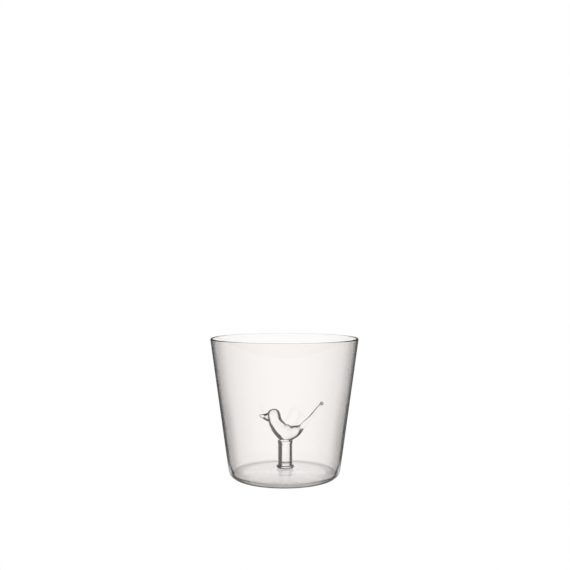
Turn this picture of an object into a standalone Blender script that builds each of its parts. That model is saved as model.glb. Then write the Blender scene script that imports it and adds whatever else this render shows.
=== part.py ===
"""Clear glass tumbler with a small glass bird standing on a rod inside it.

Metres, +Z up. The origin is on the tumbler's axis, at the surface that it stands on.
The bird looks along -X and its tail rises towards +X; the plane Y = 0 halves everything.
The pieces are flame-welded to each other on the real object, and a thin gap stands for each weld.
"""

import math

import bmesh
import bpy
from mathutils import Matrix, Vector

# Tumbler
RIM_DIAMETER = 0.090
HEIGHT = 0.085
BASE_DIAMETER = 0.0666  # where the line of the wall meets the table
RIM_WALL = 0.0013
HEEL_WALL = 0.0019
HEEL_RADIUS = 0.0060  # outside, between wall and standing ring
FILLET_RADIUS = 0.0016  # inside, between wall and floor
RING_WIDTH = 0.0025  # flat ring that the tumbler stands on
FLOOR_EDGE_HEIGHT = 0.0032  # top of the floor where the fillet begins
FLOOR_CROWN = 0.0026  # how far the floor's middle rises above its edge
FLOOR_THICKNESS = 0.0050  # at the middle

# Rod that carries the bird
ROD_DIAMETER = 0.0085
ROD_OFFSET = 0.00045  # the rod was set a little to the tail's side
PERCH_HEIGHT = 0.0156  # floor to the level that the bird's stations are measured from
BUTTON_HEIGHT = 0.0036  # melted button of glass between floor and rod
BUTTON_DIAMETER = 0.0107
ROD_LIP = 0.0003  # how far the rod's melted top stands proud of its side
ROD_LIP_HEIGHT = 0.0012

# Bird: stations along its centre line, from the crown of the head to the tip of the tail.
# Each is (forward of the rod's axis, above the level of the perch, radius).
BODY_STATIONS = (
    (-0.00790, 0.02030, 0.00150),
    (-0.00755, 0.01875, 0.00330),
    (-0.00700, 0.01635, 0.00410),
    (-0.00614, 0.01300, 0.00417),
    (-0.00445, 0.00980, 0.00453),
    (-0.00240, 0.00730, 0.00500),
    (0.00030, 0.00565, 0.00560),
    (0.00380, 0.00585, 0.00450),
    (0.00700, 0.00710, 0.00335),
)
TAIL_ROOT = (0.00975, 0.00895, 0.00205)
TAIL_STATIONS = (
    (0.01140, 0.01085, 0.00160),
    (0.01380, 0.01350, 0.00120),
    (0.01640, 0.01660, 0.00095),
    (0.01880, 0.01970, 0.00075),
    (0.02060, 0.02195, 0.00060),
)
TAIL_BALL_CENTRE = (0.02235, 0.02370)
TAIL_BALL_RADIUS = 0.00115
BEAK_STATIONS = (
    (-0.00900, 0.01540, 0.00300),
    (-0.01100, 0.01540, 0.00250),
    (-0.01250, 0.01555, 0.00180),
    (-0.01390, 0.01587, 0.00122),
    (-0.01490, 0.01612, 0.00085),
    (-0.01590, 0.01620, 0.00040),
)

WELD_GAP = 0.0003
MERGE = 0.00001
TURNED_STEPS = 64
ROD_STEPS = 40
RING_SIDES = 8
BODY_LEVELS = 2
CAGE_ROUNDS = 12
ARC_POINTS = 6
FLOOR_POINTS = 7

GLASS_COLOUR = (0.94, 0.93, 0.92, 1.0)
BIRD_COLOUR = (0.96, 0.96, 0.95, 1.0)
GLASS_ROUGHNESS = 0.02
GLASS_IOR = 1.47


def clear_scene():
    for old in list(bpy.data.objects):
        bpy.data.objects.remove(old, do_unlink=True)


def glass(name, colour):
    material = bpy.data.materials.new(name)
    material.use_nodes = True
    shader = material.node_tree.nodes["Principled BSDF"]
    shader.inputs["Base Color"].default_value = colour
    shader.inputs["Roughness"].default_value = GLASS_ROUGHNESS
    shader.inputs["Metallic"].default_value = 0.0
    shader.inputs["IOR"].default_value = GLASS_IOR
    shader.inputs["Transmission Weight"].default_value = 1.0
    return material


def make_collection(name):
    collection = bpy.data.collections.new(name)
    bpy.context.scene.collection.children.link(collection)
    return collection


def add_object(name, mesh, collection, material=None, parent=None):
    piece = bpy.data.objects.new(name, mesh)
    collection.objects.link(piece)
    if material:
        mesh.materials.append(material)
    mesh.shade_smooth()
    mesh.set_sharp_from_angle(angle=math.radians(40))
    piece.parent = parent
    return piece


def turned(name, profile, steps, collection, material=None, parent=None):
    """A closed profile of (radius, height) points, down the outside and back up the inside, spun about Z."""
    mesh = bpy.data.meshes.new(name)
    points = [(radius, 0.0, height) for radius, height in profile]
    edges = [(i, (i + 1) % len(points)) for i in range(len(points))]
    if profile[0][0] == 0.0 and profile[-1][0] == 0.0:
        edges.pop()
    mesh.from_pydata(points, edges, [])
    piece = add_object(name, mesh, collection, material, parent)
    screw = piece.modifiers.new("turn", "SCREW")
    screw.axis = "Z"
    screw.steps = steps
    screw.render_steps = steps
    screw.use_merge_vertices = True
    screw.merge_threshold = MERGE
    return piece


def cage_of(stations):
    """Rings of the cage that subdivision draws in to the stations, worked out by relaxation."""
    cage = [Vector(station) for station in stations]
    for _ in range(CAGE_ROUNDS):
        for i in range(1, len(cage) - 1):
            cage[i] = (6 * Vector(stations[i]) - cage[i - 1] - cage[i + 1]) / 4
    return cage


def lofted(name, stations, collection, material=None, parent=None, grow=0.0, end_along=None):
    """Round sections along a centre line in the plane Y = 0, smoothed into one soft form.

    With end_along, the last section is flat and square to that direction.
    """
    cage = cage_of(stations)
    centres = [Vector((x, 0.0, z)) for x, z, _ in cage]
    # Subdivision draws a ring of corners in to this share of its radius
    drawn_in = (2.0 + math.cos(math.tau / RING_SIDES)) / 3.0
    bm = bmesh.new()
    crease = bm.edges.layers.float.new("crease_edge")
    last_ring = None
    for i, (centre, ring_size) in enumerate(zip(centres, cage)):
        along = centres[min(i + 1, len(centres) - 1)] - centres[max(i - 1, 0)]
        if end_along and i == len(centres) - 1:
            along = end_along
        turn = along.to_track_quat("Z", "Y").to_matrix().to_4x4()
        made = bmesh.ops.create_circle(
            bm,
            segments=RING_SIDES,
            radius=(ring_size.z + grow) / drawn_in,
            cap_ends=i in (0, len(centres) - 1),
            matrix=Matrix.Translation(centre) @ turn,
        )
        ring = list({edge for vert in made["verts"] for edge in vert.link_edges})
        if last_ring:
            bmesh.ops.bridge_loops(bm, edges=last_ring + ring)
        last_ring = ring
    if end_along:
        for edge in last_ring:
            edge[crease] = 1.0
    bmesh.ops.recalc_face_normals(bm, faces=bm.faces)
    mesh = bpy.data.meshes.new(name)
    bm.to_mesh(mesh)
    bm.free()
    piece = add_object(name, mesh, collection, material, parent)
    smooth = piece.modifiers.new("soften", "SUBSURF")
    smooth.levels = BODY_LEVELS
    smooth.render_levels = BODY_LEVELS
    return piece


def cut(piece, cutter):
    boolean = piece.modifiers.new("weld_seat", "BOOLEAN")
    boolean.operation = "DIFFERENCE"
    boolean.solver = "EXACT"
    boolean.object = cutter


def arc(centre, radius, start, end, points):
    """Points on an arc in the profile's plane; the angles are in radians, 0 outwards and up positive."""
    return [
        (
            centre[0] + radius * math.cos(start + (end - start) * i / (points - 1)),
            centre[1] + radius * math.sin(start + (end - start) * i / (points - 1)),
        )
        for i in range(points)
    ]


def wall_tilt(wall_change=0.0):
    """How far the wall leans out from upright; the inner face leans by a little more or less."""
    rise = (RIM_DIAMETER - BASE_DIAMETER) / 2 + wall_change
    return math.atan2(rise, HEIGHT)


def outer_radius(height):
    return BASE_DIAMETER / 2 + (RIM_DIAMETER - BASE_DIAMETER) / 2 * height / HEIGHT


def inner_radius(height):
    return outer_radius(height) - HEEL_WALL + (HEEL_WALL - RIM_WALL) * height / HEIGHT


def fillet_centre():
    """Centre of the fillet between the inside of the wall and the floor."""
    tilt = wall_tilt(HEEL_WALL - RIM_WALL)
    height = FLOOR_EDGE_HEIGHT + FILLET_RADIUS
    return inner_radius(height) - FILLET_RADIUS / math.cos(tilt), height


def floor_height(radius):
    """Top of the floor, which rises gently to the middle."""
    edge = fillet_centre()[0]
    return FLOOR_EDGE_HEIGHT + FLOOR_CROWN * (1 - (radius / edge) ** 2)


def tumbler_profile():
    tilt = wall_tilt()
    heel_centre = (
        BASE_DIAMETER / 2 - HEEL_RADIUS * (1 - math.sin(tilt)) / math.cos(tilt),
        HEEL_RADIUS,
    )
    ring_inside = heel_centre[0] - RING_WIDTH
    kick = FLOOR_EDGE_HEIGHT + FLOOR_CROWN - FLOOR_THICKNESS
    rim_centre = (RIM_DIAMETER / 2 - RIM_WALL / 2, HEIGHT - RIM_WALL / 2)
    inner_tilt = wall_tilt(HEEL_WALL - RIM_WALL)
    inside = fillet_centre()

    rim = arc(rim_centre, RIM_WALL / 2, math.pi - inner_tilt, -tilt, ARC_POINTS + 1)
    heel = arc(heel_centre, HEEL_RADIUS, -tilt, -math.pi / 2, ARC_POINTS + 2)
    under = [
        (ring_inside * (1 - i / FLOOR_POINTS), kick * (1 - (1 - i / FLOOR_POINTS) ** 2))
        for i in range(FLOOR_POINTS + 1)
    ]
    floor = [
        (inside[0] * i / FLOOR_POINTS, floor_height(inside[0] * i / FLOOR_POINTS))
        for i in range(FLOOR_POINTS)
    ]
    fillet = arc(inside, FILLET_RADIUS, -math.pi / 2, -inner_tilt, ARC_POINTS)
    return rim + heel + under + floor + fillet


def build_tumbler(collection):
    profile = tumbler_profile()
    # The profile starts and ends on the inside of the rim, and touches the axis under and on the floor
    turned("tumbler", profile, TURNED_STEPS, collection, glass("tumbler_glass", GLASS_COLOUR))


def build_button(collection, seat):
    """The button of glass melted onto the floor, flaring out from the rod's foot."""
    base = floor_height(0.0) + WELD_GAP
    top = floor_height(0.0) + BUTTON_HEIGHT
    rod = ROD_DIAMETER / 2
    spread = BUTTON_DIAMETER / 2
    roll = (top - base) / 4  # radius of the button's rolled edge
    edge = arc((spread - roll, base + roll), roll, math.radians(50), -math.pi / 2, ARC_POINTS)
    profile = [(0.0, top), (rod, top), *edge, (0.0, base)]
    turned("foot_button", profile, ROD_STEPS, collection, glass("button_glass", BIRD_COLOUR), seat)


def build_rod(collection, seat, belly_cutter):
    """The solid rod; its top is cupped to the belly."""
    bottom = floor_height(0.0) + BUTTON_HEIGHT + WELD_GAP
    radius = ROD_DIAMETER / 2
    top = floor_height(0.0) + PERCH_HEIGHT + ROD_LIP_HEIGHT
    profile = [
        (0.0, top),
        (radius, top),
        (radius + ROD_LIP, top - ROD_LIP_HEIGHT / 2),
        (radius + ROD_LIP, top - ROD_LIP_HEIGHT),
        (radius, top - 2 * ROD_LIP_HEIGHT),
        (radius, bottom),
        (0.0, bottom),
    ]
    rod = turned("rod", profile, ROD_STEPS, collection, glass("rod_glass", BIRD_COLOUR), seat)
    cut(rod, belly_cutter)


def build_bird(collection, cutters, seat):
    """Body, beak and tail; gives back the grown body that cuts the seats of what is welded to it."""
    perch = bpy.data.objects.new("perch", None)
    perch.location = (0.0, 0.0, floor_height(0.0) + PERCH_HEIGHT)
    perch.parent = seat
    collection.objects.link(perch)

    root = Vector((TAIL_ROOT[0], 0.0, TAIL_ROOT[1]))
    before = Vector((BODY_STATIONS[-1][0], 0.0, BODY_STATIONS[-1][1]))
    after = Vector((TAIL_STATIONS[0][0], 0.0, TAIL_STATIONS[0][1]))
    tailwards = (after - before).normalized()
    half_gap = tailwards * WELD_GAP / 2
    body_end = (root.x - half_gap.x, root.z - half_gap.z, TAIL_ROOT[2])
    tail_start = (root.x + half_gap.x, root.z + half_gap.z, TAIL_ROOT[2])

    body = BODY_STATIONS + (body_end,)
    body_glass = glass("body_glass", BIRD_COLOUR)
    lofted("bird_body", body, collection, body_glass, perch, end_along=tailwards)
    cutter = lofted("body_seat_cutter", body, cutters, None, perch, grow=WELD_GAP)
    cutter.hide_render = True
    cutter.display_type = "WIRE"

    beak = lofted("beak", BEAK_STATIONS, collection, glass("beak_glass", BIRD_COLOUR), perch)
    cut(beak, cutter)

    ball = Vector((TAIL_BALL_CENTRE[0], 0.0, TAIL_BALL_CENTRE[1]))
    neck = Vector((TAIL_STATIONS[-1][0], 0.0, TAIL_STATIONS[-1][1]))
    out = (ball - neck).normalized()
    ball_stations = tuple(
        (
            (ball + out * TAIL_BALL_RADIUS * share).x,
            (ball + out * TAIL_BALL_RADIUS * share).z,
            TAIL_BALL_RADIUS * math.sqrt(1 - share**2),
        )
        for share in (-0.7, 0.0, 0.8)
    )
    tail = (tail_start,) + TAIL_STATIONS + ball_stations
    # Built from the tip, so that the flat end is the one at the body
    tail_glass = glass("tail_glass", BIRD_COLOUR)
    lofted("tail", tail[::-1], collection, tail_glass, perch, end_along=-tailwards)
    return cutter


def main():
    clear_scene()
    pieces = make_collection("bird_tumbler")
    cutters = make_collection("cutters")
    seat = bpy.data.objects.new("seat", None)
    seat.location = (ROD_OFFSET, 0.0, 0.0)
    pieces.objects.link(seat)

    build_tumbler(pieces)
    build_button(pieces, seat)
    belly_cutter = build_bird(pieces, cutters, seat)
    build_rod(pieces, seat, belly_cutter)


main()
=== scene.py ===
"""Clear glass tumbler with a small glass bird on a rod inside it, on a white sweep."""

import math

import bmesh
import bpy
from mathutils import Matrix, Vector


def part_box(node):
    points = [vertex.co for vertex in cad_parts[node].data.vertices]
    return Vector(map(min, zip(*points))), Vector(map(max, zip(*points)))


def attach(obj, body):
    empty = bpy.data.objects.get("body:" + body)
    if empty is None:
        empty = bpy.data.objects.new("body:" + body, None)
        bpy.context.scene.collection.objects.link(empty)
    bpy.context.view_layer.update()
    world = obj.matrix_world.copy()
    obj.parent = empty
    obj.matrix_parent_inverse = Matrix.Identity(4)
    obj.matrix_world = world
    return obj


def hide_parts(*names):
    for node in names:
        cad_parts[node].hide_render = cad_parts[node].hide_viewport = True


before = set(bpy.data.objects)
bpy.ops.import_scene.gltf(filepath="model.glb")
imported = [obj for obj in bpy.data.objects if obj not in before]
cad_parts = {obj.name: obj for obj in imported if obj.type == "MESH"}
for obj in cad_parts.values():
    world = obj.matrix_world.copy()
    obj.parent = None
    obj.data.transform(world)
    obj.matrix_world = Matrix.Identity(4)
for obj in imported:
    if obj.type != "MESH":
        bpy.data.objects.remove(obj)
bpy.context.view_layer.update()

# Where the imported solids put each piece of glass
TUMBLER_LOW, TUMBLER_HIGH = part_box("tumbler")
ROD_LOW, ROD_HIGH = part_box("rod")
BUTTON_LOW, BUTTON_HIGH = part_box("foot_button")

# Tumbler
RIM_RADIUS = TUMBLER_HIGH.x
HEIGHT = TUMBLER_HIGH.z
BASE_RADIUS = 0.0333  # where the line of the wall meets the table
RIM_WALL = 0.0013
HEEL_WALL = 0.0019
HEEL_RADIUS = 0.0060
FILLET_RADIUS = 0.0016
RING_WIDTH = 0.0025
FLOOR_EDGE_HEIGHT = 0.0032
FLOOR_CROWN = 0.0026
FLOOR_THICKNESS = 0.0050
CORNER_HEIGHT = 0.00004  # how far the corner's painted shade runs up the fillet
CORNER_FADE = (0.0018, 0.0005)  # how far inside the floor's edge it begins and is full
WALL_FADE = (0.035, 0.060)  # height over which the lower wall's painted edge shade turns into the upper's
HEEL_FADE = (0.0064, 0.0115)  # height over which the heel's painted edge shade turns into the lower wall's
FOOT_FADE = (0.0026, 0.0036)  # height over which the foot's painted edge shade turns into the heel's
MELT_RING = (0.0080, 0.0007, 0.00005)  # ripple round the foot: radius, width and height
TURNS = 256
FLOOR_STEPS = 96
RIM_POINTS = 13  # along the arc of the rim, and of the fillet
HEEL_POINTS = 17

# Rod and button
ROD_AXIS = (ROD_LOW.x + ROD_HIGH.x) / 2
ROD_RADIUS = 0.00425
ROD_LIP = 0.0003
ROD_LIP_HEIGHT = 0.0012
ROD_BEVEL = 0.0003  # at its lower end
ROD_TURNS = 96
BUTTON_RADIUS = (BUTTON_HIGH.x - BUTTON_LOW.x) / 2
BUTTON_ROLL = 0.3  # radius of its rolled edge, as a share of its height
REACH = 0.0002  # how far rod and button reach down towards what they are melted onto
MELTED = (0.0001, 0.0030)  # the melted top of the rod: how far inside its side, and how high

# Bird, from the rod's axis and the level of the perch: (forward, up, radius)
PERCH = Vector((ROD_AXIS, 0.0, ROD_HIGH.z - ROD_LIP_HEIGHT))
BODY_STATIONS = (
    (-0.00790, 0.02030, 0.00150),
    (-0.00755, 0.01875, 0.00330),
    (-0.00700, 0.01635, 0.00410),
    (-0.00614, 0.01300, 0.00417),
    (-0.00445, 0.00980, 0.00453),
    (-0.00240, 0.00730, 0.00500),
    (0.00030, 0.00565, 0.00560),
    (0.00380, 0.00585, 0.00450),
    (0.00700, 0.00710, 0.00335),
)
TAIL_ROOT = (0.00975, 0.00895, 0.00205)
TAIL_STATIONS = (
    (0.01140, 0.01085, 0.00160),
    (0.01380, 0.01350, 0.00120),
    (0.01640, 0.01660, 0.00095),
    (0.01880, 0.01970, 0.00075),
    (0.02060, 0.02195, 0.00060),
)
TAIL_BALL = (0.02235, 0.02370, 0.00115)
BEAK_STATIONS = (
    (-0.00900, 0.01540, 0.00300),
    (-0.01100, 0.01540, 0.00250),
    (-0.01250, 0.01555, 0.00180),
    (-0.01390, 0.01587, 0.00122),
    (-0.01490, 0.01612, 0.00085),
    (-0.01590, 0.01620, 0.00040),
)
# Zones of the bird's painted edge shade
BREAST = (0.0066, 0.0060)  # height of its middle above the perch, and half its depth
HEAD_FADE = (0.011, 0.015)  # height over which breast turns into head
SADDLE_FADE = (0.0125, 0.0105)  # height over which neck turns into back
TAIL_FADE = (0.0105, 0.0180)  # height over which the painted shade on the tail's upper edge darkens
DROP_FADE = (0.0222, 0.0230)  # height over which the tail's thread turns into the drop
BEAK_FADE = (0.0124, 0.0138)  # how far forward the beak's drop begins and is full

# How the forms are meshed
LONG_RUN = 0.0015  # a straight run longer than this is held straight at both ends
SUPPORT = 0.00005  # how far inside the ends it is held
RING_SIDES = 16
SMOOTHING = 3  # levels of subdivision
CAGE_ROUNDS = 12
WELD = 0.00001  # gap left where two pieces are fused

GLASS_IOR = 1.47
WARMTH = 0.04  # how far the tumbler's grey leans to red and away from blue

# Studio
CAMERA_HEIGHT = 0.1229
CAMERA_DISTANCE = 0.53224
CAMERA_SIDE = 0.00034
CAMERA_TILT_DOWN = 0.0107
LENS = 55.24
SWEEP_RADIUS = 6.0
SWEEP_DROP = 0.00005  # how far the sweep lies under the standing ring
BACKDROP = 1.05  # brightness of the studio behind the glass
ROOM = 0.12  # brightness of the room that the glass mirrors
TABLE = 0.3  # brightness of the table that the heel mirrors
TABLE_EDGE = (0.045, 0.090)
CEILING = 0.15  # brightness overhead, above the backdrop
CEILING_EDGE = (0.30, 0.55)  # sine of the elevation where the backdrop ends
SHADE = 0.90  # brightness of the table under the tumbler, lowered there as a painted shadow
SHADE_EDGE = (0.026, 0.040)  # radius over which that painted shadow fades out


# ---------------------------------------------------------------- materials


class Value:
    """A number on a shader socket, which takes part in ordinary arithmetic."""

    def __init__(self, tree, socket):
        self.tree = tree
        self.socket = socket

    def _maths(self, operation, *values, clamp=False):
        settings = {"operation": operation, "use_clamp": clamp}
        return self.tree.node("ShaderNodeMath", settings, values)[0]

    def __add__(self, other):
        return self._maths("ADD", self, other)

    def __radd__(self, other):
        return self._maths("ADD", other, self)

    def __sub__(self, other):
        return self._maths("SUBTRACT", self, other)

    def __rsub__(self, other):
        return self._maths("SUBTRACT", other, self)

    def __mul__(self, other):
        return self._maths("MULTIPLY", self, other)

    def __rmul__(self, other):
        return self._maths("MULTIPLY", other, self)

    def __truediv__(self, other):
        return self._maths("DIVIDE", self, other)

    def __pow__(self, other):
        return self._maths("POWER", self, other)

    def held(self):
        """The same number, kept between 0 and 1."""
        return self._maths("ADD", self, 0.0, clamp=True)

    def below(self, other):
        """1 where the number is less than the other, else 0."""
        return self._maths("LESS_THAN", self, other)


class Outputs:
    """A node's outputs by name or place, each as a Value."""

    def __init__(self, tree, made):
        self.tree = tree
        self.made = made

    def __getitem__(self, key):
        return Value(self.tree, self.made.outputs[key])


class Tree:
    """A material's or the world's nodes."""

    def __init__(self, owner):
        owner.use_nodes = True
        self.nodes = owner.node_tree.nodes
        self.links = owner.node_tree.links
        self.nodes.clear()

    def node(self, kind, settings=None, values=None):
        """Makes a node: its settings first, then its sockets by name or in order."""
        made = self.nodes.new(kind)
        for name, setting in (settings or {}).items():
            if name == "stops":
                self._stops(made.color_ramp, setting)
            else:
                setattr(made, name, setting)
        pairs = values.items() if isinstance(values, dict) else enumerate(values or ())
        for key, value in pairs:
            if isinstance(value, Value):
                self.links.new(value.socket, made.inputs[key])
            else:
                made.inputs[key].default_value = value
        return Outputs(self, made)

    @staticmethod
    def _stops(ramp, stops):
        while len(ramp.elements) < len(stops):
            ramp.elements.new(1.0)
        for element, (place, colour) in zip(ramp.elements, stops):
            element.position = place
            element.color = colour


def grey(level, warmth=0.0):
    """A neutral colour, or one a little warm: warmth lifts red and lowers blue somewhat."""
    return (level * (1 + warmth), level, level * (1 - 0.6 * warmth), 1.0)


def eased(tree, value, start, end, first, last):
    """Eases from first to last as a value goes from start to end."""
    settings = {"interpolation_type": "SMOOTHSTEP"}
    return tree.node("ShaderNodeMapRange", settings, (value, start, end, first, last))[0]


def split(tree, output):
    """X, Y and Z of a place ("Object") or of the way a surface faces ("Normal")."""
    vector = tree.node("ShaderNodeTexCoord")[output]
    return tree.node("ShaderNodeSeparateXYZ", {}, (vector,))


def clear_glass(name, stops, *others, adjusted=None, welded=None):
    """Clear glass, its colour darkened by painted shade where it is met at a slant.

    stops give its colour, warm grey with painted edge shade, from face-on (0) to edge-on (1);
    adjusted changes the slant that they are looked up with, by where the surface is or the way it
    faces. Each of the others is a pair of stops and the share with which they take over. Where
    welded is 1 there is no surface.
    """
    material = bpy.data.materials.new(name)
    tree = Tree(material)
    slant = tree.node("ShaderNodeLayerWeight", {}, {"Blend": 0.5})["Facing"]
    if adjusted:
        slant = adjusted(tree, slant).held()
    # painted edge shade: the glass's colour darkens with the slant
    tint_and_painted_shade = tree.node("ShaderNodeValToRGB", {"stops": stops}, {"Fac": slant})["Color"]
    for other_stops, share in others:
        other = tree.node("ShaderNodeValToRGB", {"stops": other_stops}, {"Fac": slant})["Color"]
        sockets = {0: share(tree), 6: tint_and_painted_shade, 7: other}
        tint_and_painted_shade = tree.node("ShaderNodeMix", {"data_type": "RGBA"}, sockets)[2]
    shader = tree.node(
        "ShaderNodeBsdfPrincipled",
        {},
        {
            "Base Color": tint_and_painted_shade,
            "Roughness": 0.0,
            "IOR": GLASS_IOR,
            "Transmission Weight": 1.0,
        },
    )["BSDF"]
    if welded:
        clear = tree.node("ShaderNodeBsdfTransparent")["BSDF"]
        shader = tree.node("ShaderNodeMixShader", {}, (welded(tree), shader, clear))[0]
    tree.node("ShaderNodeOutputMaterial", {}, {"Surface": shader})
    return material


# Each of the solid pieces divides its slant so that it reaches 0.5, where its ramp's painted
# shade goes dark, at a slant of its own.


def rod_slant(tree, slant):
    """The rod's painted edge shade goes dark sooner on the side of the breast."""
    return slant * 0.5 / (0.18 + 0.10 * split(tree, "Normal")["X"])


def bird_slant(tree, slant):
    """The body's painted edge shade goes dark soonest on the breast, and last on the back, where
    it meets the tail.
    """
    facing = split(tree, "Normal")
    above = split(tree, "Object")["Z"] - PERCH.z
    breast = (1 - ((above - BREAST[0]) / BREAST[1]) ** 2).held()
    head = eased(tree, above, *HEAD_FADE, 0.0, 1.0)
    forward, back = (0 - facing["X"]).held(), facing["X"].held()
    saddle = facing["Z"].held() ** 2 * eased(tree, above, *SADDLE_FADE, 0.0, 1.0)
    dark = 0.29 + 0.24 * facing["Z"] * facing["Z"] + 0.14 * saddle - 0.34 * breast * forward
    return slant * 0.5 / (dark - head * (0.06 * forward + 0.17 * back))


def tail_slant(tree, slant):
    """The thin tail gets painted shade along its upper edge only, and the drop at its tip all
    round.
    """
    facing = split(tree, "Normal")
    above = split(tree, "Object")["Z"] - PERCH.z
    edge = eased(tree, above, *TAIL_FADE, 0.50, 0.02)
    thread = edge + 1.6 * (0.66 - 0.97 * (facing["Z"] - facing["X"])).held()
    drop = eased(tree, above, *DROP_FADE, 0.0, 1.0)
    return slant * 0.5 / (thread + drop * (0.13 - thread))


def beak_slant(tree, slant):
    """The beak's painted edge shade is darkest at the head, and has a clear drop near its tip."""
    forward = ROD_AXIS - split(tree, "Object")["X"]
    return slant * 0.5 / eased(tree, forward, *BEAK_FADE, 0.17, 0.26)


def in_lower_wall(tree):
    """1 in the lower part of the wall, and 0 in the upper."""
    return eased(tree, split(tree, "Object")["Z"], *WALL_FADE, 1.0, 0.0)


def in_heel(tree):
    """1 in the heel, and 0 up the wall."""
    return eased(tree, split(tree, "Object")["Z"], *HEEL_FADE, 1.0, 0.0)


def in_foot(tree):
    """1 under the floor's edge, and 0 above it."""
    return eased(tree, split(tree, "Object")["Z"], *FOOT_FADE, 1.0, 0.0)


def heel_slant(tree, slant):
    """The glass is thicker round the heel, and its painted edge shade goes dark sooner there."""
    return slant + 0.09 * in_heel(tree)


def in_corner(tree):
    """1 where the floor runs out into the corner, which gets painted shade, and 0 on the rest of
    the floor and the wall.
    """
    place = split(tree, "Object")
    radius = (place["X"] * place["X"] + place["Y"] * place["Y"]) ** 0.5
    edge = fillet_centre()[0]
    low = place["Z"].below(FLOOR_EDGE_HEIGHT + CORNER_HEIGHT)
    return low * eased(tree, radius, edge - CORNER_FADE[0], edge - CORNER_FADE[1], 0.0, 1.0)


def on_rod(tree):
    """1 where the belly is melted into the top of the rod."""
    place = split(tree, "Object")
    across = place["X"] - ROD_AXIS
    outside = across * across + place["Y"] * place["Y"] - (ROD_RADIUS - MELTED[0]) ** 2
    return outside.below(0.0) * place["Z"].below(PERCH.z + MELTED[1])


def weld_material():
    """Where two pieces are melted together there is no surface, and light goes straight on."""
    material = bpy.data.materials.new("weld")
    tree = Tree(material)
    clear = tree.node("ShaderNodeBsdfTransparent")["BSDF"]
    tree.node("ShaderNodeOutputMaterial", {}, {"Surface": clear})
    return material


def stops_of(*levels):
    """Stops of a ramp from pairs of place and level, all as warm as the tumbler's glass."""
    return tuple((place, grey(level, WARMTH)) for place, level in levels)


# Colour by slant, from face-on (0) to edge-on (1): warm grey glass, with painted shade that
# darkens it towards edge-on
OUTER_STOPS = stops_of(
    (0.000, 0.911),
    (0.046, 0.907),
    (0.083, 0.875),
    (0.134, 0.854),
    (0.200, 0.825),
    (0.286, 0.779),
    (0.400, 0.690),
    (0.457, 0.616),
    (0.525, 0.488),
    (0.564, 0.416),
    (0.608, 0.364),
    (0.659, 0.315),
    (0.720, 0.123),
    (0.800, 0.0095),
    (1.000, 0.005),
)
LOWER_STOPS = stops_of(
    (0.000, 0.911),
    (0.046, 0.907),
    (0.083, 0.875),
    (0.134, 0.854),
    (0.200, 0.820),
    (0.286, 0.765),
    (0.350, 0.725),
    (0.400, 0.657),
    (0.457, 0.524),
    (0.525, 0.366),
    (0.564, 0.330),
    (0.608, 0.300),
    (0.660, 0.260),
    (0.690, 0.200),
    (0.730, 0.020),
    (0.900, 0.0095),
    (1.000, 0.050),
)
HEEL_STOPS = LOWER_STOPS[:-3] + stops_of(
    (0.710, 0.010),
    (0.785, 0.005),
    (0.830, 0.300),
    (0.900, 0.500),
    (1.000, 0.600),
)
FOOT_STOPS = stops_of(
    (0.00, 0.60),
    (0.30, 0.52),
    (0.50, 0.42),
    (0.66, 0.32),
    (0.71, 0.03),
    (0.78, 0.03),
    (0.84, 0.30),
    (0.90, 0.50),
    (1.00, 0.60),
)
# painted shade in the corner where floor meets wall
CORNER_STOPS = stops_of(
    (0.00, 0.80),
    (0.66, 0.80),
    (0.70, 0.45),
    (0.775, 0.30),
    (0.83, 0.50),
    (0.88, 0.65),
    (1.00, 0.70),
)
INNER_STOPS = (
    (0.00, grey(1.0)),
    (0.60, grey(1.0)),
    (0.80, grey(0.86)),
    (1.00, grey(0.5)),
)
SOLID_STOPS = (
    (0.00, grey(1.0, 0.01)),
    (0.20, grey(0.98, 0.01)),
    (0.34, grey(0.91, 0.01)),
    (0.43, grey(0.78, 0.01)),
    (0.49, grey(0.45, 0.02)),
    (0.54, grey(0.012, WARMTH)),
    (1.00, grey(0.006, WARMTH)),
)


# ------------------------------------------------------------------- shapes


def finished(name, bm, materials, nodes):
    """Turns a bmesh into a piece that stands for its CAD nodes and rides on the one body."""
    mesh = bpy.data.meshes.new(name)
    bm.to_mesh(mesh)
    bm.free()
    for material in materials:
        mesh.materials.append(material)
    mesh.shade_smooth()
    piece = bpy.data.objects.new(name, mesh)
    bpy.context.scene.collection.objects.link(piece)
    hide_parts(*nodes)
    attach(piece, "root")
    return piece


def arc(centre, radius, start, end, points):
    """Points on an arc in the profile's plane, by angles from outwards and rising upwards."""
    turns = [start + (end - start) * i / (points - 1) for i in range(points)]
    return [(centre[0] + radius * math.cos(t), centre[1] + radius * math.sin(t)) for t in turns]


def supported(profile):
    """The profile with a point just inside each end of a long run, so that it shades straight."""
    points = [profile[0]]
    for start, end in zip(profile, profile[1:]):
        run = math.dist(start, end)
        if run > LONG_RUN:
            for share in (SUPPORT / run, 1 - SUPPORT / run):
                points.append(tuple(a + (b - a) * share for a, b in zip(start, end)))
        points.append(end)
    return points


def spun(profile, steps, centre=0.0):
    """A bmesh of (radius, height) points turned round the upright line at x = centre."""
    closed = profile[0][0] > 0
    outline = supported(profile + profile[:1] if closed else profile)
    bm = bmesh.new()
    points = [bm.verts.new((radius, 0.0, height)) for radius, height in outline]
    if closed:
        bm.verts.remove(points.pop())
        points.append(points[0])
    edges = [bm.edges.new(pair) for pair in zip(points, points[1:])]
    if closed:
        points.pop()
    bmesh.ops.spin(
        bm,
        geom=points + edges,
        cent=(0, 0, 0),
        axis=(0, 0, 1),
        angle=math.tau,
        steps=steps,
        use_merge=True,
    )
    bmesh.ops.remove_doubles(bm, verts=bm.verts, dist=1e-7)
    bmesh.ops.recalc_face_normals(bm, faces=bm.faces)
    bmesh.ops.translate(bm, verts=bm.verts, vec=(centre, 0, 0))
    return bm


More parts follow.
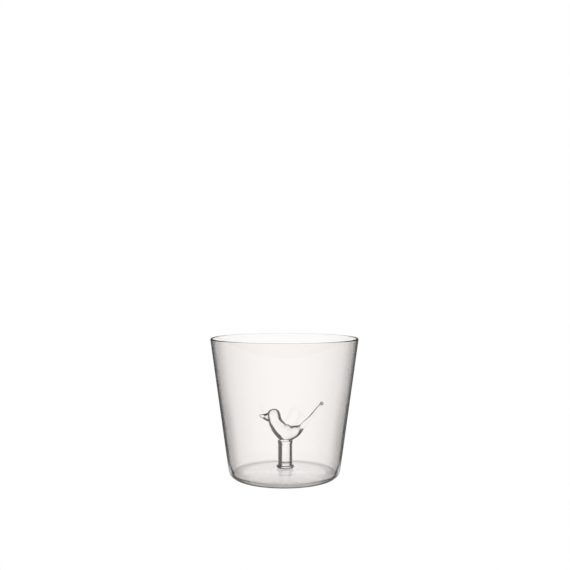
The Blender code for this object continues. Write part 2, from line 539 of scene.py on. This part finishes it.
def wall_tilt(inner):
    """How far the wall leans out from upright, outside or inside."""
    rise = RIM_RADIUS - BASE_RADIUS + (HEEL_WALL - RIM_WALL if inner else 0.0)
    return math.atan2(rise, HEIGHT)


def outer_radius(height):
    """Of the wall, at a height."""
    return BASE_RADIUS + (RIM_RADIUS - BASE_RADIUS) * height / HEIGHT


def inner_radius(height):
    """Of the wall, at a height; the wall is thickest at the heel."""
    return outer_radius(height) - HEEL_WALL + (HEEL_WALL - RIM_WALL) * height / HEIGHT


def fillet_centre():
    """Radius and height of the centre of the arc between floor and wall."""
    height = FLOOR_EDGE_HEIGHT + FILLET_RADIUS
    return inner_radius(height) - FILLET_RADIUS / math.cos(wall_tilt(True)), height


def floor_height(radius):
    """Of the crowned floor, with the low ripple where the button was melted on."""
    ring, width, height = MELT_RING
    ripple = height * math.exp(-(((radius - ring) / width) ** 2))
    return FLOOR_EDGE_HEIGHT + FLOOR_CROWN * (1 - (radius / fillet_centre()[0]) ** 2) + ripple


def tumbler_profile():
    """Round the section, from the rim down the outside and back up the inside."""
    outer, inner = wall_tilt(False), wall_tilt(True)
    heel = (BASE_RADIUS - HEEL_RADIUS * (1 - math.sin(outer)) / math.cos(outer), HEEL_RADIUS)
    ring_inside = heel[0] - RING_WIDTH
    kick = FLOOR_EDGE_HEIGHT + FLOOR_CROWN - FLOOR_THICKNESS
    rim = (RIM_RADIUS - RIM_WALL / 2, HEIGHT - RIM_WALL / 2)
    inside = fillet_centre()
    shares = [i / FLOOR_STEPS for i in range(FLOOR_STEPS + 1)]
    under = [(ring_inside * (1 - share), kick * (1 - (1 - share) ** 2)) for share in shares]
    floor = [(inside[0] * share, floor_height(inside[0] * share)) for share in shares[:-1]]
    return (
        arc(rim, RIM_WALL / 2, math.pi - inner, -outer, RIM_POINTS)
        + arc(heel, HEEL_RADIUS, -outer, -math.pi / 2, HEEL_POINTS)
        + under
        + floor
        + arc(inside, FILLET_RADIUS, -math.pi / 2, -inner, RIM_POINTS)
    )


def build_tumbler(outside, inside):
    """The tumbler, with one glass outside and one inside and underneath."""
    bm = spun(tumbler_profile(), TURNS)
    ring_inside = BASE_RADIUS - HEEL_RADIUS - RING_WIDTH
    for face in bm.faces:
        middle = face.calc_center_median()
        radius = middle.xy.length
        outwards = face.normal.x * middle.x + face.normal.y * middle.y
        within = outwards < 0 or (face.normal.z > 0 and radius < BASE_RADIUS)
        if (within and middle.z > FLOOR_EDGE_HEIGHT) or radius < ring_inside:
            face.material_index = 1
    return finished("tumbler_bowl", bm, [outside, inside], ["tumbler"])


def build_button(material):
    """The flare of glass that the rod stands on, with a rolled edge."""
    low, high = BUTTON_LOW.z - REACH, BUTTON_HIGH.z
    roll = (high - low) * BUTTON_ROLL
    hollow = BUTTON_RADIUS - roll - ROD_RADIUS  # the flare between rod and rolled edge
    flare = [
        (ROD_RADIUS + hollow * share**2, high - (high - low - 1.7 * roll) * share)
        for share in (0.0, 0.2, 0.4, 0.6, 0.8, 1.0)
    ]
    edge = arc((BUTTON_RADIUS - roll, low + roll), roll, math.radians(40), -math.pi / 2, 9)
    profile = [(0.0, high), *flare, *edge, (0.0, low)]
    bm = spun(profile, ROD_TURNS, ROD_AXIS)
    return finished("button", bm, [material], ["foot_button"])


def build_rod(material):
    """The rod, with its slightly swollen lip."""
    top = PERCH.z + ROD_LIP_HEIGHT
    bottom = ROD_LOW.z - REACH
    profile = [
        (0.0, top),
        (ROD_RADIUS, top),
        (ROD_RADIUS + ROD_LIP * 0.8, top - ROD_LIP_HEIGHT * 0.3),
        (ROD_RADIUS + ROD_LIP, top - ROD_LIP_HEIGHT * 0.7),
        (ROD_RADIUS + ROD_LIP * 0.7, top - ROD_LIP_HEIGHT * 1.1),
        (ROD_RADIUS, top - 2 * ROD_LIP_HEIGHT),
        (ROD_RADIUS, bottom + ROD_BEVEL),
        (ROD_RADIUS - ROD_BEVEL, bottom),
        (0.0, bottom),
    ]
    bm = spun(profile, ROD_TURNS, ROD_AXIS)
    return finished("rod_of_glass", bm, [material], ["rod"])


def cage_of(stations):
    """Rings of the cage that subdivision draws in to the stations, worked out by relaxation."""
    cage = [Vector(station) for station in stations]
    for _ in range(CAGE_ROUNDS):
        for i in range(1, len(cage) - 1):
            cage[i] = (6 * Vector(stations[i]) - cage[i - 1] - cage[i + 1]) / 4
    return cage


def lofted(stations, grow=0.0):
    """A bmesh of round sections along a line in the plane Y = 0: the cage of a soft form."""
    cage = cage_of(stations)
    centres = [PERCH + Vector((x, 0.0, z)) for x, z, _ in cage]
    drawn_in = (2.0 + math.cos(math.tau / RING_SIDES)) / 3.0
    bm = bmesh.new()
    last_ring = None
    for i, (centre, ring_size) in enumerate(zip(centres, cage)):
        along = centres[min(i + 1, len(centres) - 1)] - centres[max(i - 1, 0)]
        turn = along.to_track_quat("Z", "Y").to_matrix().to_4x4()
        made = bmesh.ops.create_circle(
            bm,
            segments=RING_SIDES,
            radius=(ring_size.z + grow) / drawn_in,
            cap_ends=i in (0, len(centres) - 1),
            matrix=Matrix.Translation(centre) @ turn,
        )
        ring = list({edge for vert in made["verts"] for edge in vert.link_edges})
        if last_ring:
            bmesh.ops.bridge_loops(bm, edges=last_ring + ring)
        last_ring = ring
    bmesh.ops.recalc_face_normals(bm, faces=bm.faces)
    return bm


def softened(bm, name):
    """A new mesh of the cage with its subdivision applied."""
    mesh = bpy.data.meshes.new(name)
    bm.to_mesh(mesh)
    bm.free()
    cage = bpy.data.objects.new(name, mesh)
    bpy.context.scene.collection.objects.link(cage)
    smooth = cage.modifiers.new("soften", "SUBSURF")
    smooth.levels = SMOOTHING
    smooth.render_levels = SMOOTHING
    graph = bpy.context.evaluated_depsgraph_get()
    fine = bpy.data.meshes.new_from_object(cage.evaluated_get(graph))
    bpy.data.objects.remove(cage, do_unlink=True)
    bpy.data.meshes.remove(mesh)
    return fine


def build_bird(material, tail_material, weld):
    """Body and tail: one smooth form, parted at the tail's root."""
    ball = Vector((TAIL_BALL[0], 0.0, TAIL_BALL[1]))
    neck = Vector((TAIL_STATIONS[-1][0], 0.0, TAIL_STATIONS[-1][1]))
    out = (ball - neck).normalized()
    radius = TAIL_BALL[2]
    ball_stations = tuple(
        ((ball + out * radius * s).x, (ball + out * radius * s).z, radius * math.sqrt(1 - s * s))
        for s in (-0.7, 0.0, 0.8)
    )
    whole = softened(lofted(BODY_STATIONS + (TAIL_ROOT,) + TAIL_STATIONS + ball_stations), "bird")
    root = PERCH + Vector((TAIL_ROOT[0], 0.0, TAIL_ROOT[1]))
    before = Vector((BODY_STATIONS[-1][0], 0.0, BODY_STATIONS[-1][1]))
    after = Vector((TAIL_STATIONS[0][0], 0.0, TAIL_STATIONS[0][1]))
    tailwards = (after - before).normalized()
    parts = (
        ("bird_of_glass", ["bird_body"], 1.0, material),
        ("tail_thread", ["tail"], -1.0, tail_material),
    )
    for name, nodes, side, glass in parts:
        bm = bmesh.new()
        bm.from_mesh(whole)
        cut = bmesh.ops.bisect_plane(
            bm,
            geom=bm.verts[:] + bm.edges[:] + bm.faces[:],
            plane_co=root - tailwards * side * WELD / 2,
            plane_no=tailwards * side,
            clear_outer=True,
        )
        rim = [part for part in cut["geom_cut"] if isinstance(part, bmesh.types.BMEdge)]
        cap = bmesh.ops.holes_fill(bm, edges=rim, sides=0)
        for face in cap["faces"]:
            face.material_index = 1
        for edge in rim:
            edge.smooth = False
        bmesh.ops.recalc_face_normals(bm, faces=bm.faces)
        finished(name, bm, [glass, weld], nodes)
    bpy.data.meshes.remove(whole)


def build_beak(material):
    """The beak's pointed drop."""
    fine = softened(lofted(BEAK_STATIONS), "beak_form")
    bm = bmesh.new()
    bm.from_mesh(fine)
    bpy.data.meshes.remove(fine)
    return finished("beak_drop", bm, [material], ["beak"])


def cut_seat(piece):
    """Cups a piece to the bird's body, with the weld's gap."""
    body = softened(lofted(BODY_STATIONS + (TAIL_ROOT,) + TAIL_STATIONS, WELD), "seat_form")
    cutter = bpy.data.objects.new("seat_form", body)
    bpy.context.scene.collection.objects.link(cutter)
    boolean = piece.modifiers.new("seat", "BOOLEAN")
    boolean.operation = "DIFFERENCE"
    boolean.solver = "EXACT"
    boolean.object = cutter
    graph = bpy.context.evaluated_depsgraph_get()
    cut = bpy.data.meshes.new_from_object(piece.evaluated_get(graph))
    piece.modifiers.clear()
    piece.data = cut
    bpy.data.objects.remove(cutter, do_unlink=True)


# ------------------------------------------------------------------- studio


def glow(tree, through, mirror=ROOM):
    """Brightness: white to the camera, mirror where glass mirrors the studio, else through."""
    path = tree.node("ShaderNodeLightPath")
    mirrored = path["Is Reflection Ray"] * (1 - path["Is Diffuse Ray"])
    unseen = through + mirrored * (mirror - through)
    return unseen + path["Is Camera Ray"] * (1 - unseen)


def build_studio():
    """White sweep, plain bright surroundings and the camera."""
    floor_material = bpy.data.materials.new("white_sweep")
    tree = Tree(floor_material)
    place = tree.node("ShaderNodeTexCoord")["Object"]
    radius = tree.node("ShaderNodeVectorMath", {"operation": "LENGTH"}, (place,))["Value"]
    # painted shadow on the table under the tumbler
    shade = eased(tree, radius, *SHADE_EDGE, SHADE, BACKDROP)
    near = eased(tree, radius, *TABLE_EDGE, TABLE, ROOM)
    strength = glow(tree, shade, near)
    lit = tree.node("ShaderNodeEmission", {}, {"Color": grey(1.0), "Strength": strength})
    tree.node("ShaderNodeOutputMaterial", {}, {"Surface": lit["Emission"]})
    bm = bmesh.new()
    bmesh.ops.create_circle(bm, cap_ends=True, segments=128, radius=SWEEP_RADIUS)
    mesh = bpy.data.meshes.new("sweep")
    bm.to_mesh(mesh)
    bm.free()
    mesh.materials.append(floor_material)
    sweep = bpy.data.objects.new("sweep", mesh)
    sweep.location.z = -SWEEP_DROP
    bpy.context.scene.collection.objects.link(sweep)

    world = bpy.data.worlds.new("studio")
    bpy.context.scene.world = world
    tree = Tree(world)
    towards = tree.node("ShaderNodeTexCoord")["Generated"]
    height = tree.node("ShaderNodeSeparateXYZ", {}, (towards,))["Z"]
    through = eased(tree, height, *CEILING_EDGE, BACKDROP, CEILING)
    strength = glow(tree, through)
    sky = tree.node("ShaderNodeBackground", {}, {"Color": grey(1.0), "Strength": strength})
    tree.node("ShaderNodeOutputWorld", {}, {"Surface": sky["Background"]})

    data = bpy.data.cameras.new("camera")
    data.lens = LENS
    data.sensor_width = 36.0
    data.clip_start = 0.01
    data.clip_end = 50.0
    camera = bpy.data.objects.new("camera", data)
    camera.location = (CAMERA_SIDE, -CAMERA_DISTANCE, CAMERA_HEIGHT)
    camera.rotation_euler = (math.pi / 2 - CAMERA_TILT_DOWN, 0.0, 0.0)
    bpy.context.scene.collection.objects.link(camera)
    bpy.context.scene.camera = camera

    scene = bpy.context.scene
    scene.view_settings.view_transform = "Standard"
    scene.cycles.max_bounces = 40
    scene.cycles.transmission_bounces = 40
    scene.cycles.glossy_bounces = 16
    scene.cycles.transparent_max_bounces = 24


build_studio()
weld = weld_material()
outer_glass = clear_glass(
    "outer_glass",
    OUTER_STOPS,
    (LOWER_STOPS, in_lower_wall),
    (HEEL_STOPS, in_heel),
    (FOOT_STOPS, in_foot),
    adjusted=heel_slant,
)
inner_glass = clear_glass("inner_glass", INNER_STOPS, (CORNER_STOPS, in_corner))
rod_glass = clear_glass("rod_glass", SOLID_STOPS, adjusted=rod_slant, welded=on_rod)
bird_glass = clear_glass("bird_glass", SOLID_STOPS, adjusted=bird_slant, welded=on_rod)
tail_glass = clear_glass("tail_glass", SOLID_STOPS, adjusted=tail_slant)
button_glass = clear_glass("button_glass", SOLID_STOPS, adjusted=rod_slant)
beak_glass = clear_glass("beak_glass", SOLID_STOPS, adjusted=beak_slant)
build_tumbler(outer_glass, inner_glass)
build_button(button_glass)
cut_seat(build_rod(rod_glass))
build_bird(bird_glass, tail_glass, weld)
cut_seat(build_beak(beak_glass))
